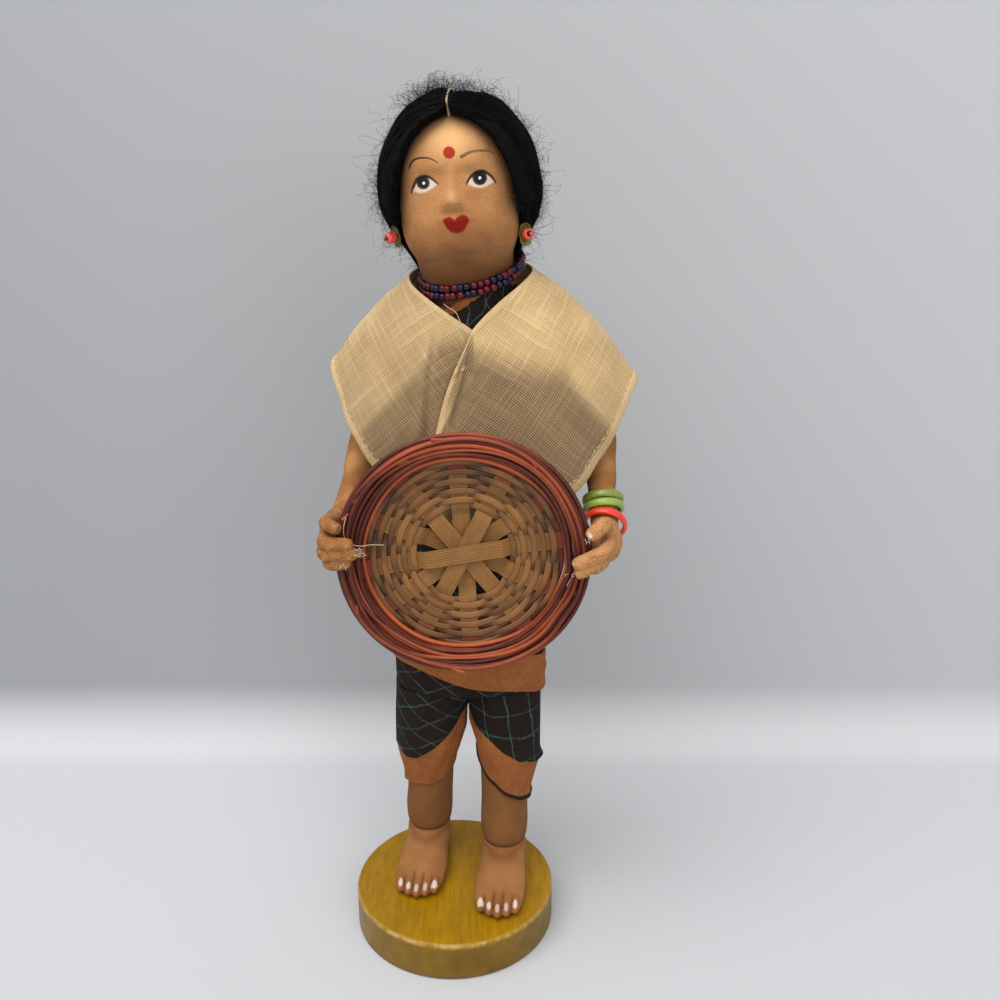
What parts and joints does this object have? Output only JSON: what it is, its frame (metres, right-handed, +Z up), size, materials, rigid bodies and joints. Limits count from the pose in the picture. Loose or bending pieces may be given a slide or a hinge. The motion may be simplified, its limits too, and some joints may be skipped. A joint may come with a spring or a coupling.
{
  "type": "folk doll",
  "caption": "Stuffed cloth doll of a basket carrier standing on a round painted wooden disc, with a round woven tray held between its hands.",
  "frame": {"origin": "centre of the underside of the wooden disc, on the surface that the doll stands on", "axes": "+Z up, -Y the way the doll faces, +X towards the doll's own left"},
  "size_m": [0.0958, 0.0752, 0.2702],
  "materials": {
    "disc_paint": "ochre enamel paint, half gloss, worn lighter at the edge",
    "wire": "bare annealed wire",
    "body_cotton": "stuffed cotton under the clothes",
    "skin_cotton": "tan cotton stockinette, matt",
    "wadding": "tightly wound cotton wadding",
    "face_cotton": "tan cotton stockinette with a painted face",
    "mohair": "black mohair, frizzy",
    "sequin": "olive yellow, half clear, glossy",
    "coral_bead": "coral red, glossy",
    "seed_beads": "glossy seed beads, alternating dark red and navy blue",
    "red_bangle": "glossy",
    "green_bangle": "light green, glossy",
    "splint": "bare ribbed cane splint",
    "tan_cane": "bare cane",
    "red_cane": "cane dyed red brown",
    "black_sari": "black cotton with thin turquoise check lines",
    "orange_border": "orange woven border",
    "muslin": "cream open-weave muslin"
  },
  "bodies": {
    "figure": {"base_disc": "disc_paint", "leg_wire_right": "wire", "leg_wire_left": "wire", "spine_wire": "wire", "arm_wire": "wire", "torso": "body_cotton", "leg_right": "skin_cotton", "leg_left": "skin_cotton", "foot_right": "skin_cotton", "foot_left": "skin_cotton", "arm_right": "skin_cotton", "arm_left": "skin_cotton", "hand_right": "skin_cotton", "hand_left": "skin_cotton", "head_core": "wadding", "head_cover": "face_cotton", "hair_right": "mohair", "hair_left": "mohair", "hair_bun": "mohair", "ear_pin_right": "wire", "ear_pin_left": "wire", "necklace_upper": "seed_beads", "necklace_lower": "seed_beads", "chest_wrap": "black_sari", "sari_hip_wrap": "black_sari", "sari_leg_right": "black_sari", "sari_leg_left": "black_sari", "sari_border_band": "orange_border", "shawl": "muslin"},
    "basket": {"basket_splint_1": "splint", "basket_splint_2": "splint", "basket_splint_3": "splint", "basket_splint_4": "splint", "basket_splint_5": "splint", "basket_splint_6": "splint", "basket_weave_front": "tan_cane", "basket_weave_back": "tan_cane", "basket_rim_cane": "red_cane"},
    "bangle_red": {"bangle_red": "red_bangle"},
    "bangle_green_lower": {"bangle_green_lower": "green_bangle"},
    "bangle_green_upper": {"bangle_green_upper": "green_bangle"},
    "earring_right": {"ear_sequin_right": "sequin", "ear_bead_right": "coral_bead"},
    "earring_left": {"ear_sequin_left": "sequin", "ear_bead_left": "coral_bead"}
  },
  "joints": [
    {"name": "basket_tilt", "type": "hinge", "parent": "figure", "child": "basket", "pos_m": [0.005, -0.01865, 0.1439], "axis": [1, 0, 0], "range_deg": [-8, 8]},
    {"name": "bangle_red_slide", "type": "slide", "parent": "figure", "child": "bangle_red", "axis": [-0.0425, 0.6368, 0.7698], "range_m": [0, 0.004]},
    {"name": "bangle_green_lower_slide", "type": "slide", "parent": "figure", "child": "bangle_green_lower", "axis": [-0.0425, 0.6368, 0.7698], "range_m": [0, 0.004]},
    {"name": "bangle_green_upper_slide", "type": "slide", "parent": "figure", "child": "bangle_green_upper", "axis": [-0.0425, 0.6368, 0.7698], "range_m": [0, 0.004]},
    {"name": "earring_right_turn", "type": "hinge", "parent": "figure", "child": "earring_right", "pos_m": [-0.0159, 0.0052, 0.2292], "axis": [-0.8026, -0.5618, -0.2006], "continuous": true},
    {"name": "earring_left_turn", "type": "hinge", "parent": "figure", "child": "earring_left", "pos_m": [0.0236, 0.0015, 0.2306], "axis": [0.3409, -0.9324, 0.1203], "continuous": true}
  ],
  "couplings": [
    {"joint": "bangle_green_lower_slide", "follows": "bangle_red_slide", "ratio": 1},
    {"joint": "bangle_green_upper_slide", "follows": "bangle_red_slide", "ratio": 1}
  ]
}
